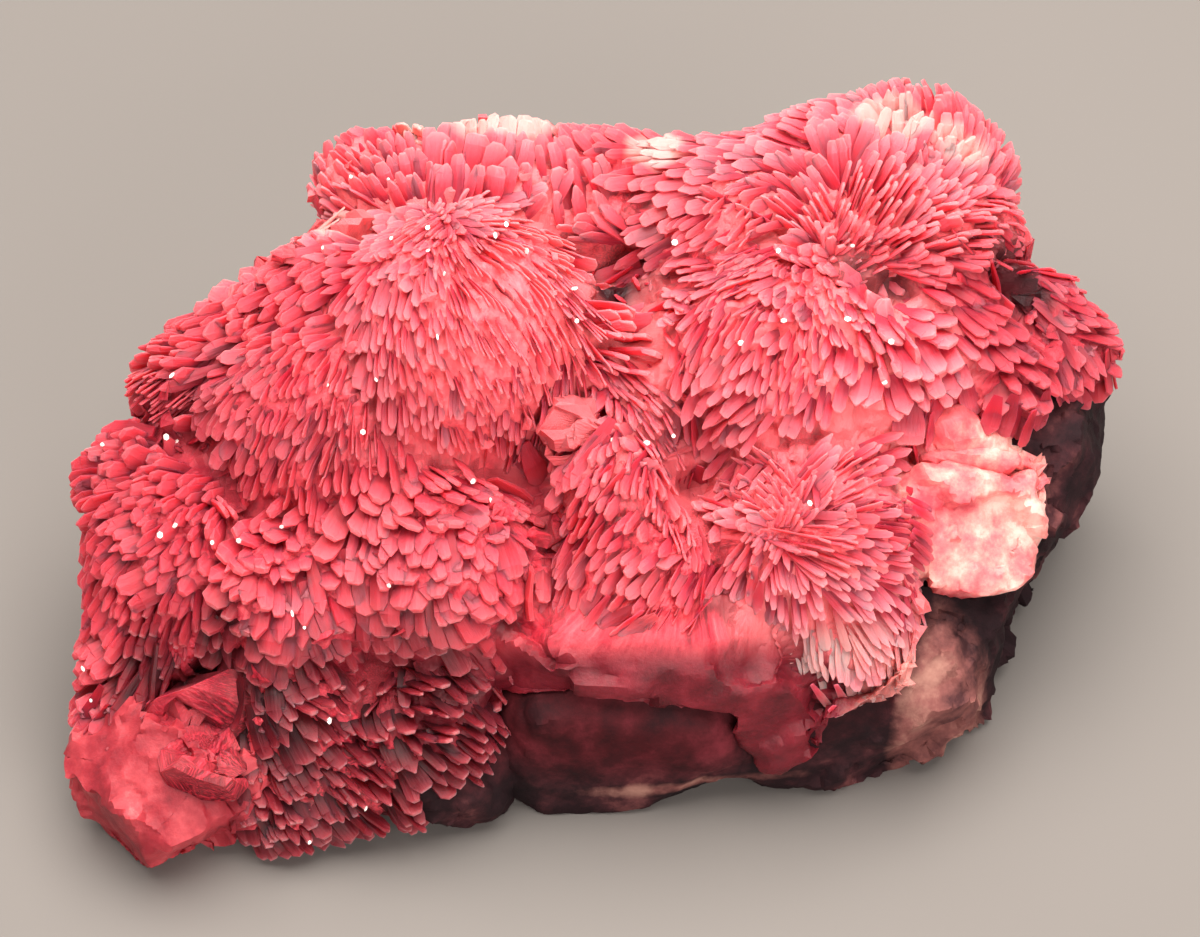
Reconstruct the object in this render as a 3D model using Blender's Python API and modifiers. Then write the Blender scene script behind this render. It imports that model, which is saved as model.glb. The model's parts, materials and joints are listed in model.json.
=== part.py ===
"""Rhodonite nodule: sprays of bladed rhodonite crystals grown together into one crust.

The crust sits on the lump of dark manganese rock that it grew from. The row frame has its origin at the
bottom centre, +Z up, and +X to the right as one looks along +Y at the crystal face. The face leans back,
so its places are given across it, up it and out of it.
"""

import math
import random
from typing import NamedTuple

import bmesh
import bpy
from mathutils import Matrix, Vector
from mathutils.bvhtree import BVHTree

# Driving dimensions, in metres and degrees. The places on the crystal face are in millimetres.
MM = 0.001
FACE_RISE = math.radians(50)  # how far the crystal face's normal points above the horizon
FACE_MIDDLE = Vector((0.0, -0.0023, 0.028))  # where the middle of the crystal face lies
CONTACT_GAP = 0.0005  # between the rock's corners and the crust on it, about 0.3 mm at its faces
CRUST_CLEARANCE = 0.0006  # how far above the surface it stands on the lowest crystals end

CRYSTAL_REACH = 0.0024  # a spray's radius counts its crystals, which stand on a ball smaller by this
BED_GRAIN = 0.0044  # the spacing of the crystals over the crust
BED_JITTER = 0.0006
BED_SMOOTHINGS = 2
SMOOTHING_SHARE = 0.5  # how far each smoothing moves a point toward the middle of its neighbours
CRYSTAL_HEIGHT = (0.0018, 0.0038)
CRYSTAL_LEAN = 0.45  # how far a crystal leans away from its spray's pole, as a slope
TIP_SHIFT = 0.45  # how far its tip lies from its middle toward its outer corner
POLE_LEAN = (math.radians(8.4), math.radians(28))  # how far a spray's pole leans from straight out
BACK_HEART_DEPTH = 14  # the sprays at the back point away from a place this deep behind the face, in mm
SETTLING_ROUNDS = 8  # for shortening crystals that run into each other
SETTLING_SHARE = 0.7
DRAWN_IN = 0.97  # a face's size when it is tested against its neighbours, which it touches at full size
LEAN_SEED = 5
CRYSTAL_SEED = 17
ROCK_SEED = 11
FILLING_SEED = 31
MASSIVE_SEED = 51


class Spray(NamedTuple):
    """A ball of crystals that radiate from one point: its place on the face and its radius, in mm."""

    across: float
    up: float
    out: float
    radius: float


# The sprays that show on the crystal face, from the top row down, each row from left to right.
FACE_SPRAYS = (
    Spray(-27.0, 32.4, -9, 8.6),
    Spray(-20.2, 31.2, -7, 8.3),
    Spray(-11.2, 31.6, -7, 9.9),
    Spray(-1.7, 30.0, -8, 10.0),
    Spray(6.2, 29.0, -10, 10.0),
    Spray(13.5, 28.0, -6, 11.4),
    Spray(25.2, 31.9, -6, 11.2),
    Spray(35.0, 36.0, -8, 10.0),
    Spray(42.5, 33.5, -9, 8.2),
    Spray(30.3, 27.5, 0, 9.5),
    Spray(38.5, 23.5, 0, 7.5),
    Spray(44.0, 25.5, -5, 7.4),
    Spray(-40.9, 16.3, -3, 7.6),
    Spray(-31.5, 20.5, -1, 9.0),
    Spray(-15.1, 14.6, 2, 16.5),
    Spray(19.1, 11.8, 1, 15.2),
    Spray(31.4, 10.7, 4, 9.5),
    Spray(40.4, 15.1, 1, 7.5),
    Spray(50.4, 17.5, -6, 8.0),
    Spray(54.0, 12.0, -4, 7.6),
    Spray(45.4, 8.4, 1, 7.0),
    Spray(-47.6, 10.1, -2, 7.8),
    Spray(-32.5, 5.0, 1, 13.5),
    Spray(-53.0, -1.0, -3, 8.2),
    Spray(1.1, -1.7, 10, 7.8),
    Spray(24.1, -7.3, 3, 14.6),
    Spray(-48.2, -9.5, 0, 12.0),
    Spray(-34.8, -15.1, 5, 10.7),
    Spray(-16.8, -11.8, 5, 12.9),
    Spray(4.5, -12.0, 6, 11.2),
    Spray(-52.7, -20.7, 0, 7.5),
    Spray(-45.5, -19.5, 1, 6.5),
    Spray(-33.6, -26.9, 4, 8.4),
    Spray(-17.9, -28.0, 2, 10.6),
    Spray(-53.8, -28.0, 0, 7.0),
    Spray(-35.5, -38.0, 0, 8.3),
    Spray(-28.0, -36.0, 1, 7.0),
    Spray(-20.5, -35.5, 1, 6.5),
)
# The sprays round the back and the left end, which the face hides.
BACK_SPRAYS = (
    Spray(-35.0, 12.0, -20, 9.0),
    Spray(-22.0, 22.0, -20, 10.0),
    Spray(-8.0, 24.0, -20, 10.0),
    Spray(8.0, 22.0, -22, 10.0),
    Spray(24.0, 26.0, -20, 10.0),
    Spray(38.0, 24.0, -18, 8.0),
    Spray(-45.0, 0.0, -18, 9.0),
    Spray(-48.0, -11.0, -14, 8.0),
)


class Chunk(NamedTuple):
    """A broken lump: its middle and half-lengths, in millimetres of the row frame, and its flat fractures.

    Each fracture is an outward normal and its distance from the middle."""

    middle: tuple
    half: tuple
    fractures: tuple = ()


# The country rock: its base, the boss that shows at the front, the overhanging right side and the back.
ROCK_CHUNKS = (
    Chunk((-4, 3.2, 8), (36, 20, 12)),
    Chunk((3, -10.8, 8), (19, 21, 13), (((0.03, -1.0, -0.02), 18.2),)),
    Chunk((28, -7.8, 9), (19, 21, 13), (((0.1, -0.99, -0.05), 18.2), ((0.7, -0.7, 0.0), 19.2))),
    Chunk((40, 9.2, 16), (20, 19, 17), (((0.88, -0.40, -0.22), 15.0), ((0.3, -0.85, -0.45), 17.0))),
    Chunk((4, 23.2, 16), (38, 11, 15), (((0.0, 1.0, 0.1), 9.5),)),
    Chunk((-17, -24.8, 5), (7, 8.5, 8)),
)
# Massive rhodonite that broke with flat faces where no crystal could grow.
MASSIVE_CHUNKS = (
    Chunk((41.5, -6.8, 25), (10, 8, 9), (((0.30, -0.50, 0.80), 4.5), ((0.9, -0.3, -0.2), 7.0))),
    Chunk(
        (28, -19.8, 19),
        (10, 9, 9),
        (((0.1, -0.6, 0.78), 5.5), ((0.3, -0.95, -0.1), 9.0), ((0.3, -0.3, -0.9), 6.5)),
    ),
    Chunk((20, -22.3, 13), (7, 7.5, 10), (((0.2, -0.97, 0.1), 6.0), ((-0.5, -0.6, -0.6), 7.5))),
    Chunk((3, -19.8, 19), (17, 9, 8), (((0.03, -1.0, -0.02), 8.6),)),
    Chunk(
        (-49, -31.3, 8),
        (11, 9, 10),
        (
            ((-0.7, -0.7, 0.0), 6.6),
            ((0.6, -0.8, 0.0), 7.2),
            ((-0.2, -0.6, 0.8), 6.5),
            ((-0.6, 0.3, 0.8), 9.0),
        ),
    ),
)
# Plain filling that ties the sprays' hearts together inside the crust.
HEART_CHUNKS = (
    Chunk((-6, 7.2, 18), (42, 21, 15)),
    Chunk((26, 13.2, 30), (22, 15, 14)),
    Chunk((-40, -17.8, 8), (12, 12, 8)),
)
CHUNK_POINTS = 34
CHUNK_ROUGHNESS = (0.86, 1.05)  # how unevenly its corners stand, as shares of its half-lengths
CHUNK_SQUARENESS = 4.0  # 2 is a round lump, more is a blockier one
REST_LEVEL = 0.0  # the rock is trimmed flat here, to stand on


def on_face(across, up, out):
    """The row frame's point for a place on the crystal face, given in millimetres."""
    up_axis = Vector((0.0, math.sin(FACE_RISE), math.cos(FACE_RISE)))
    out_axis = Vector((0.0, -math.cos(FACE_RISE), math.sin(FACE_RISE)))
    return FACE_MIDDLE + MM * (across * Vector((1.0, 0.0, 0.0)) + up * up_axis + out * out_axis)


def clear_scene():
    for obj in list(bpy.data.objects):
        bpy.data.objects.remove(obj)


def new_collection(name):
    collection = bpy.data.collections.new(name)
    bpy.context.scene.collection.children.link(collection)
    return collection


def new_object(name, bm, collection):
    """An object with bm's mesh, which is then freed."""
    mesh = bpy.data.meshes.new(name)
    bm.to_mesh(mesh)
    bm.free()
    obj = bpy.data.objects.new(name, mesh)
    collection.objects.link(obj)
    return obj


def make_helper(obj):
    """Hides a cutter or a guide, which isn't a piece of the specimen."""
    obj.hide_render = True
    obj.display_type = "WIRE"
    return obj


def make_material(name, colour, roughness):
    material = bpy.data.materials.new(name)
    material.use_nodes = True
    shader = material.node_tree.nodes["Principled BSDF"]
    shader.inputs["Base Color"].default_value = (*colour, 1.0)
    shader.inputs["Roughness"].default_value = roughness
    shader.inputs["Metallic"].default_value = 0.0
    return material


def cut_flat(bm, point, normal):
    """Takes away what lies beyond a plane, and closes the cut with one flat face."""
    everything = bm.verts[:] + bm.edges[:] + bm.faces[:]
    bmesh.ops.bisect_plane(bm, geom=everything, plane_co=point, plane_no=normal, clear_outer=True)
    rim = [edge for edge in bm.edges if edge.is_boundary]
    bmesh.ops.holes_fill(bm, edges=rim, sides=len(rim))


def face_outward(bm):
    """Turns a closed mesh's faces outward."""
    bmesh.ops.recalc_face_normals(bm, faces=bm.faces)
    if bm.calc_volume(signed=True) < 0.0:
        bmesh.ops.reverse_faces(bm, faces=bm.faces)


def even_directions(count):
    """Unit vectors spread evenly over a ball."""
    golden = math.pi * (3.0 - math.sqrt(5.0))
    directions = []
    for n in range(count):
        height = 1.0 - 2.0 * (n + 0.5) / count
        ring = math.sqrt(1.0 - height * height)
        directions.append(Vector((ring * math.cos(golden * n), ring * math.sin(golden * n), height)))
    return directions


def make_chunk(name, chunk, seed, collection, margin=0.0):
    """A rough convex lump: the hull of uneven points, stretched and then split along its fractures.

    A margin, in millimetres, makes a lump that is larger by that much all round."""
    rng = random.Random(seed)
    middle = MM * Vector(chunk.middle)
    bm = bmesh.new()
    for direction in even_directions(CHUNK_POINTS):
        reach = sum(abs(co) ** CHUNK_SQUARENESS for co in direction) ** (-1.0 / CHUNK_SQUARENESS)
        point = direction * reach * rng.uniform(*CHUNK_ROUGHNESS)
        bm.verts.new(middle + MM * Vector(co * (half + margin) for co, half in zip(point, chunk.half)))
    bmesh.ops.convex_hull(bm, input=bm.verts)
    bmesh.ops.delete(bm, geom=[vert for vert in bm.verts if not vert.link_faces], context="VERTS")
    for normal, distance in chunk.fractures:
        outward = Vector(normal).normalized()
        cut_flat(bm, middle + MM * (distance + margin) * outward, outward)
    face_outward(bm)
    return new_object(name, bm, collection)


def evaluated_bmesh(obj):
    """A bmesh of the object with its modifiers, in world space."""
    graph = bpy.context.evaluated_depsgraph_get()
    evaluated = obj.evaluated_get(graph)
    bm = bmesh.new()
    bm.from_mesh(evaluated.to_mesh())
    bm.transform(evaluated.matrix_world)
    evaluated.to_mesh_clear()
    return bm


def keep_largest_body(bm):
    """Removes the crumbs that a Boolean leaves, and the walls of any sealed pocket."""
    unseen = set(bm.verts)
    bodies = []
    while unseen:
        body = set()
        front = [unseen.pop()]
        while front:
            vert = front.pop()
            body.add(vert)
            linked = {edge.other_vert(vert) for edge in vert.link_edges} & unseen
            unseen -= linked
            front.extend(linked)
        bodies.append(body)
    bodies.sort(key=len)
    crumbs = [vert for body in bodies[:-1] for vert in body]
    bmesh.ops.delete(bm, geom=crumbs, context="VERTS")


def add_boolean(obj, name, operation, other):
    """Joins or cuts obj with an object, or with every object of a collection."""
    modifier = obj.modifiers.new(name, "BOOLEAN")
    modifier.operation = operation
    modifier.solver = "EXACT"
    modifier.use_self = True
    if isinstance(other, bpy.types.Collection):
        modifier.operand_type = "COLLECTION"
        modifier.collection = other
    else:
        modifier.object = other
    return modifier


def joined(pieces):
    """A bmesh of one body, from helper objects that overlap each other."""
    others = new_collection("joined")
    for piece in pieces[1:]:
        others.objects.link(piece)
    add_boolean(pieces[0], "join", "UNION", others)
    bm = evaluated_bmesh(pieces[0])
    for piece in pieces:
        bpy.data.objects.remove(piece)
    bpy.data.collections.remove(others)
    keep_largest_body(bm)
    return bm


def rock_body(helpers, margin=0.0):
    """The rock's lumps as one body, larger by a margin in millimetres."""
    return joined([
        make_chunk("rock_lump", chunk, ROCK_SEED + n, helpers, margin) for n, chunk in enumerate(ROCK_CHUNKS)
    ])


def make_rock(specimen, helpers):
    """The country rock, trimmed flat underneath."""
    bm = rock_body(helpers)
    cut_flat(bm, Vector((0, 0, REST_LEVEL)), Vector((0, 0, -1)))
    face_outward(bm)
    rock = new_object("matrix_rock", bm, specimen)
    rock.data.materials.append(make_material("manganese_rock", (0.085, 0.052, 0.058), 0.85))


def inside_chunk(point, chunk):
    """Whether a point lies in the rounded block that a chunk is hewn from, and inside its fractures."""
    offset = (point - MM * Vector(chunk.middle)) / MM
    if sum(abs(co / half) ** CHUNK_SQUARENESS for co, half in zip(offset, chunk.half)) > 1.0:
        return False
    return all(
        offset.dot(Vector(normal).normalized()) < distance for normal, distance in chunk.fractures
    )


def any_way(rng):
    """A vector that points any way, no longer than 1 along each axis."""
    return Vector((rng.uniform(-1, 1), rng.uniform(-1, 1), rng.uniform(-1, 1)))


def spray_poles():
    """The way each spray mainly points: out of the face, or away from the crust's heart at the back."""
    rng = random.Random(LEAN_SEED)
    back_heart = on_face(0, 0, -BACK_HEART_DEPTH)
    poles = []
    for spray in FACE_SPRAYS + BACK_SPRAYS:
        middle = on_face(spray.across, spray.up, spray.out)
        out_of_face = on_face(spray.across, spray.up, spray.out + 1) - middle
        pole = out_of_face if spray in FACE_SPRAYS else middle - back_heart
        lean_axis = any_way(rng).normalized()
        pole.rotate(Matrix.Rotation(rng.uniform(*POLE_LEAN), 3, lean_axis))
        poles.append((middle, MM * spray.radius, pole.normalized()))
    return poles


def growth_at(point, poles):
    """The way crystals grow at a point of the crust, and the way that leads off from the spray's pole."""
    middle, radius, pole = min(poles, key=lambda entry: (point - entry[0]).length - entry[1])
    growth = (point - middle).normalized()
    away = (growth * growth.dot(pole) - pole).normalized()
    return growth, away


def make_bed(helpers):
    """The body that the crystals stand on: the sprays' balls and the filling between, run together."""
    bm = bmesh.new()
    for spray in FACE_SPRAYS + BACK_SPRAYS:
        where = Matrix.Translation(on_face(spray.across, spray.up, spray.out))
        radius = MM * spray.radius - CRYSTAL_REACH
        bmesh.ops.create_icosphere(bm, subdivisions=3, radius=radius, matrix=where)
    for n, chunk in enumerate(HEART_CHUNKS):
        filling = make_chunk(f"filling_{n}", chunk, FILLING_SEED + n, helpers)
        bm.from_mesh(filling.data)
        bpy.data.objects.remove(filling)
    bed = new_object("bed", bm, helpers)
    grain = bed.modifiers.new("run_together", "REMESH")
    grain.mode = "VOXEL"
    grain.voxel_size = BED_GRAIN
    bm = evaluated_bmesh(bed)
    bpy.data.objects.remove(bed)
    keep_largest_body(bm)
    return bm


def split_along(bm, poles):
    """Splits every four-sided face of the bed along the diagonal closest to its crystals' lines."""
    for face in [face for face in bm.faces if len(face.verts) == 4]:
        away = growth_at(face.calc_center_median(), poles)[1]
        a, b, c, d = face.verts
        first, second = (c.co - a.co).normalized(), (d.co - b.co).normalized()
        corners = (a, c) if abs(first.dot(away)) > abs(second.dot(away)) else (b, d)
        bmesh.ops.connect_verts(bm, verts=corners)


def colliding_tips(bm, tips):
    """The crystals with a face that cuts another face, apart from touching it at an edge."""
    corners = []
    for face in bm.faces:
        middle = face.calc_center_median()
        corners.extend(middle + DRAWN_IN * (vert.co - middle) for vert in face.verts)
    triangles = [(n, n + 1, n + 2) for n in range(0, len(corners), 3)]
    tree = BVHTree.FromPolygons(corners, triangles)
    bm.faces.ensure_lookup_table()
    colliding = set()
    for i, j in tree.overlap(tree):
        if i != j:
            colliding |= (set(bm.faces[i].verts) | set(bm.faces[j].verts)) & tips
    return colliding


def grow_crystals(bm, poles):
    """Raises a three-sided crystal on every face of the bed, leaning off from its spray's pole."""
    rng = random.Random(CRYSTAL_SEED)
    axes = {"use_axis_x": True, "use_axis_y": True, "use_axis_z": True}
    for _ in range(BED_SMOOTHINGS):
        bmesh.ops.smooth_vert(bm, verts=bm.verts, factor=SMOOTHING_SHARE, **axes)
    for vert in bm.verts:
        vert.co += BED_JITTER * any_way(rng)
    split_along(bm, poles)
    feet = {}
    for face in list(bm.faces):
        middle = face.calc_center_median()
        if any(inside_chunk(middle, chunk) for chunk in ROCK_CHUNKS) or middle.z < 0:
            continue
        growth, away = growth_at(middle, poles)
        corners = list(face.verts)
        outermost = max(corners, key=lambda vert: vert.co.dot(away))
        foot = middle + TIP_SHIFT * (outermost.co - middle)
        rise = (growth + face.normal).normalized() + CRYSTAL_LEAN * away
        rise = rng.uniform(*CRYSTAL_HEIGHT) * rise.normalized()
        tip = bmesh.ops.poke(bm, faces=[face])["verts"][0]
        tip.co = foot + rise
        feet[tip] = foot
    for _ in range(SETTLING_ROUNDS):
        for tip in colliding_tips(bm, set(feet)):
            tip.co = feet[tip] + SETTLING_SHARE * (tip.co - feet[tip])


def make_crystals(specimen, helpers):
    """The rhodonite crust: sprays and massive lumps in one body, fitted to the rock beneath it."""
    bm = make_bed(helpers)
    grow_crystals(bm, spray_poles())
    pieces = [new_object("crust", bm, helpers)]
    for n, chunk in enumerate(MASSIVE_CHUNKS):
        pieces.append(make_chunk(f"massive_{n}", chunk, MASSIVE_SEED + n, helpers))
    body = new_object("crust_body", joined(pieces), helpers)
    cutter = make_helper(new_object("rock_cutter", rock_body(helpers, CONTACT_GAP / MM), helpers))
    add_boolean(body, "fit_to_rock", "DIFFERENCE", cutter)
    bm = evaluated_bmesh(body)
    bpy.data.objects.remove(body)
    cut_flat(bm, Vector((0, 0, CRUST_CLEARANCE)), Vector((0, 0, -1)))
    keep_largest_body(bm)
    face_outward(bm)
    crystals = new_object("rhodonite_crystals", bm, specimen)
    crystals.data.materials.append(make_material("rhodonite", (0.72, 0.13, 0.17), 0.35))


def main():
    clear_scene()
    specimen = new_collection("rhodonite_nodule")
    helpers = new_collection("helpers")
    make_rock(specimen, helpers)
    make_crystals(specimen, helpers)


if __name__ == "__main__":
    main()
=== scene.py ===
"""The rhodonite nodule as it lies on a table: broken manganese rock, the massive rhodonite grown on it, and the
sprays of crystal blades that cover the upper side."""

import json
import math
from typing import NamedTuple

import bmesh
import bpy
import numpy as np
from mathutils import Matrix, Vector, noise
from mathutils.bvhtree import BVHTree

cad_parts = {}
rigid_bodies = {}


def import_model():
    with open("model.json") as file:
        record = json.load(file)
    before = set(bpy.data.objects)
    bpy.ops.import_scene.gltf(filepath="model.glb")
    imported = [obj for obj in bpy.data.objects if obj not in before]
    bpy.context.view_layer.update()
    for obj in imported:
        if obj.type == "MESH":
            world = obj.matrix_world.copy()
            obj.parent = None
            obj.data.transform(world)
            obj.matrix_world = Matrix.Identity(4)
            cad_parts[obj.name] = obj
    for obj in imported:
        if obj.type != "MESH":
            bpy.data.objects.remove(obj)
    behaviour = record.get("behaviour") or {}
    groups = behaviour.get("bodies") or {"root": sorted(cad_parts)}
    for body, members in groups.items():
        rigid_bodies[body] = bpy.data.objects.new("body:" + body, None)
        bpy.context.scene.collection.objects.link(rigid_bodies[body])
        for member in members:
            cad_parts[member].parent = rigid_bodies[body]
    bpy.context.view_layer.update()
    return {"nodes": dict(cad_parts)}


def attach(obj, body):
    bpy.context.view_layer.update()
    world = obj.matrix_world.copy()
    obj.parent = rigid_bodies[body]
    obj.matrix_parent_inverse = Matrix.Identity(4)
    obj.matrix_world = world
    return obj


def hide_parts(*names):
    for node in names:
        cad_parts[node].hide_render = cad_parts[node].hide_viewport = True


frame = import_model()

# ----------------------------------------------------------------------------------------------------------
# The manganese rock that everything grew on: a hard, dense, dark rock of manganese oxides and silicates, broken
# from the vein with a hammer. It is bare at the lower front, at the right and underneath.

MM = 0.001
ROCK_GRAIN = 0.6 * MM  # the spacing of the points on its broken faces
BOSS_SWELL = 0.9 * MM  # how far the boss at the front swells out, to meet the crust over it
CRUMB = 0.9 * MM
CRUMB_RELIEF = 0.25 * MM
EDGE_ANGLE = 32  # faces that turn more than this from each other, in degrees, meet at a sharp edge
# Places on the rock, each with its middle and half-lengths in millimetres, in the row frame.
BOSS = ((5, -29, 9), (21, 8, 15))
REDDENED_TOP = ((4, -29.5, 21), (21, 7, 9))
PALE_VEIN = ((38.5, -27, 7), (4.5, 13, 12))
FAINT_VEIN = ((12, -33, 4.5), (8, 5, 0.7))


def deselect_all():
    for obj in bpy.context.selected_objects:
        obj.select_set(False)
    bpy.context.view_layer.objects.active = None


def copy_of_solid(node, name):
    """A piece that starts as a merged copy of a solid, and is then the only thing selected."""
    deselect_all()
    piece = frame["nodes"][node].copy()
    piece.data = piece.data.copy()
    piece.name = name
    piece.parent = None
    bpy.context.scene.collection.objects.link(piece)
    piece.data.materials.clear()
    piece.select_set(True)
    bpy.context.view_layer.objects.active = piece
    bpy.ops.object.mode_set(mode="EDIT")
    bpy.ops.mesh.select_all(action="SELECT")
    bpy.ops.mesh.remove_doubles(threshold=0.001 * MM)
    bpy.ops.object.mode_set(mode="OBJECT")
    return piece


def apply_modifier(piece, kind, **settings):
    modifier = piece.modifiers.new(kind.lower(), kind)
    for name, value in settings.items():
        setattr(modifier, name, value)
    with bpy.context.temp_override(object=piece, active_object=piece, selected_objects=[piece]):
        bpy.ops.object.modifier_apply(modifier=modifier.name)


def relief(name, kind, size, **settings):
    """A texture that raises or sinks a surface, with features of about that size."""
    texture = bpy.data.textures.new(name, kind)
    texture.noise_scale = size
    for setting, value in settings.items():
        setattr(texture, setting, value)
    return texture


def linear(hex_colour):
    """A colour for a shader, from its sRGB hex value."""
    values = [int(hex_colour[i : i + 2], 16) / 255 for i in (1, 3, 5)]
    return (*[v / 12.92 if v <= 0.04045 else ((v + 0.055) / 1.055) ** 2.4 for v in values], 1.0)


def new_material(name, **values):
    """A material and its shader, with values for the shader's sockets by name."""
    material = bpy.data.materials.new(name)
    material.use_nodes = True
    shader = material.node_tree.nodes["Principled BSDF"]
    for socket, value in values.items():
        shader.inputs[socket.replace("_", " ")].default_value = value
    return material, shader


def add_node(material, kind, sources=None, stops=(), **settings):
    """Adds a node. Settings are its properties or sockets by name, stops a ramp's positions and hex colours.

    Sources feed sockets, by name or number, each from another node's output, a number or a hex colour."""
    node = material.node_tree.nodes.new(kind)
    for name, value in settings.items():
        if hasattr(node, name):
            setattr(node, name, value)
        else:
            node.inputs[name.replace("_", " ")].default_value = value
    for socket, source in (sources or {}).items():
        if isinstance(source, bpy.types.NodeSocket):
            material.node_tree.links.new(source, node.inputs[socket])
        else:
            node.inputs[socket].default_value = linear(source) if isinstance(source, str) else source
    while stops and len(node.color_ramp.elements) < len(stops):
        node.color_ramp.elements.new(0.5)
    for number, (position, colour) in enumerate(stops):
        node.color_ramp.elements[number].position = position
        node.color_ramp.elements[number].color = linear(colour)
    return node


def shade_by_angle(piece, degrees):
    deselect_all()
    piece.select_set(True)
    bpy.context.view_layer.objects.active = piece
    bpy.ops.object.shade_smooth_by_angle(angle=math.radians(degrees))
    deselect_all()


rock = copy_of_solid("matrix_rock", "broken_rock")
apply_modifier(rock, "REMESH", mode="VOXEL", voxel_size=ROCK_GRAIN)


def points_of(mesh):
    values = np.empty(len(mesh.vertices) * 3)
    mesh.vertices.foreach_get("co", values)
    return values.reshape(-1, 3)


def set_points(mesh, points):
    mesh.vertices.foreach_set("co", points.ravel())
    mesh.update()


def point_normals(mesh):
    values = np.empty(len(mesh.vertices) * 3)
    mesh.vertices.foreach_get("normal", values)
    return values.reshape(-1, 3)


def unit(vectors):
    return vectors / np.maximum(np.linalg.norm(vectors, axis=-1, keepdims=True), 1e-9)


def near(points, middle, half, softness=0.3):
    """1 inside an ellipsoid given in millimetres, falling to 0 outside it."""
    away_from_middle = np.linalg.norm((points / MM - np.array(middle)) / np.array(half), axis=1)
    return np.clip((1.0 + softness - away_from_middle) / softness, 0.0, 1.0)


def keep_mark(mesh, name, values):
    mesh.attributes.new(name, "FLOAT", "POINT").data.foreach_set("value", values)


STEEPEST = 0.4  # the least that a point's normal may agree with its facet's, as a cosine


def hew(mesh, size, tilt, limit, seed, share):
    """Breaks a surface into flat, tilted facets of about that size, by moving each point to its facet's plane.

    No point moves further than the limit, and each goes only its share of the way."""
    points, normals = points_of(mesh), point_normals(mesh)
    turned = Matrix.Rotation(seed, 3, Vector((1, 2, 3)).normalized())
    seats = np.array([noise.voronoi((turned @ Vector(point)) / size)[1][0] for point in points])
    _, facet = np.unique(np.round(seats, 3), axis=0, return_inverse=True)
    facet = facet.ravel()
    count = np.bincount(facet)[:, None]
    middles = np.stack([np.bincount(facet, points[:, n]) for n in range(3)], axis=1) / count
    facings = np.stack([np.bincount(facet, normals[:, n]) for n in range(3)], axis=1)
    facings = unit(unit(facings) + np.random.default_rng(seed).normal(0, tilt, facings.shape))
    facing = facings[facet]
    steepness = np.maximum((normals * facing).sum(axis=1), STEEPEST)
    move = ((middles[facet] - points) * facing).sum(axis=1) / steepness
    set_points(mesh, points + (np.clip(move, -limit, limit) * share)[:, None] * normals)


# The boss at the front is a smooth old surface. The rest of the rock was broken, coarsely and then finely.
smooth_share = near(points_of(rock.data), *BOSS)
hew(rock.data, size=8 * MM, tilt=0.12, limit=2.0 * MM, seed=1, share=1.0 - 0.75 * smooth_share)
apply_modifier(rock, "SMOOTH", factor=0.5, iterations=1)
hew(rock.data, size=3 * MM, tilt=0.16, limit=0.7 * MM, seed=2, share=1.0 - 0.7 * smooth_share)
apply_modifier(rock, "SMOOTH", factor=0.5, iterations=1)
set_points(rock.data, points_of(rock.data) + (BOSS_SWELL * smooth_share)[:, None] * point_normals(rock.data))
crumbs = relief("crumbs", "CLOUDS", CRUMB, noise_depth=2)
apply_modifier(rock, "DISPLACE", texture=crumbs, texture_coords="LOCAL", strength=CRUMB_RELIEF, mid_level=0.5)
rock_places = points_of(rock.data)
rock_places[:, 2] = np.maximum(rock_places[:, 2], 0.0)
set_points(rock.data, rock_places)
keep_mark(rock.data, "reddened", near(rock_places, *REDDENED_TOP, softness=0.8))
vein_shares = (near(rock_places, *PALE_VEIN, softness=0.6), 0.75 * near(rock_places, *FAINT_VEIN, softness=1.5))
keep_mark(rock.data, "veined", np.max(vein_shares, axis=0))


def painted(material, under, mark, over, pattern=None, ragged=0.5):
    """A colour painted over another where a mark says. A pattern may make the edge ragged, by so much."""
    share = add_node(material, "ShaderNodeAttribute", attribute_name=mark).outputs["Fac"]
    if pattern is not None:
        mixed = add_node(material, "ShaderNodeMath", {0: share, 1: pattern}, operation="ADD")
        share = add_node(
            material, "ShaderNodeMapRange", {"Value": mixed.outputs["Value"]},
            From_Min=1.0 - ragged / 2, From_Max=1.0 + ragged / 2,
        ).outputs["Result"]
    mix = add_node(material, "ShaderNodeMix", {"Factor": share, 6: under, 7: over}, data_type="RGBA")
    return mix.outputs[2]


# Broken manganese rock: near black with brown and wine-red patches, and duller than the crystals, because a
# break in a fine-grained oxide rock is rough all over and throws no clear highlight.
ROCK_PATCH = 7.69 * MM  # the width of its lighter and darker patches
ROCK_GRIT = 0.6667 * MM  # the real grit is finer, and wouldn't show
ROCK_GRIT_RELIEF = 0.25 * MM
rock_material, rock_shader = new_material("broken manganese rock", Roughness=0.75, Specular_IOR_Level=0.15)
place = add_node(rock_material, "ShaderNodeTexCoord").outputs["Object"]
patches = add_node(
    rock_material, "ShaderNodeTexNoise", {"Vector": place}, Scale=1.0 / ROCK_PATCH, Detail=6.0, Roughness=0.62
).outputs["Fac"]
dark_colour, red_colour, vein_colour = (
    add_node(rock_material, "ShaderNodeValToRGB", {"Fac": patches}, stops).outputs["Color"]
    for stops in (
        ((0.34, "#160C0F"), (0.48, "#241317"), (0.58, "#3C1F23"), (0.70, "#6C4140")),
        ((0.34, "#2A0B10"), (0.50, "#451218"), (0.66, "#68222B")),
        ((0.36, "#46282A"), (0.50, "#7C4B47"), (0.64, "#A07468")),
    )
)
rock_colour = painted(rock_material, dark_colour, "reddened", red_colour, patches, 0.9)
rock_colour = painted(rock_material, rock_colour, "veined", vein_colour, patches, 0.6)
rock_material.node_tree.links.new(rock_colour, rock_shader.inputs["Base Color"])
grit = add_node(
    rock_material, "ShaderNodeTexNoise", {"Vector": place}, Scale=1.0 / ROCK_GRIT, Detail=5.0, Roughness=0.7
)
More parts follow.
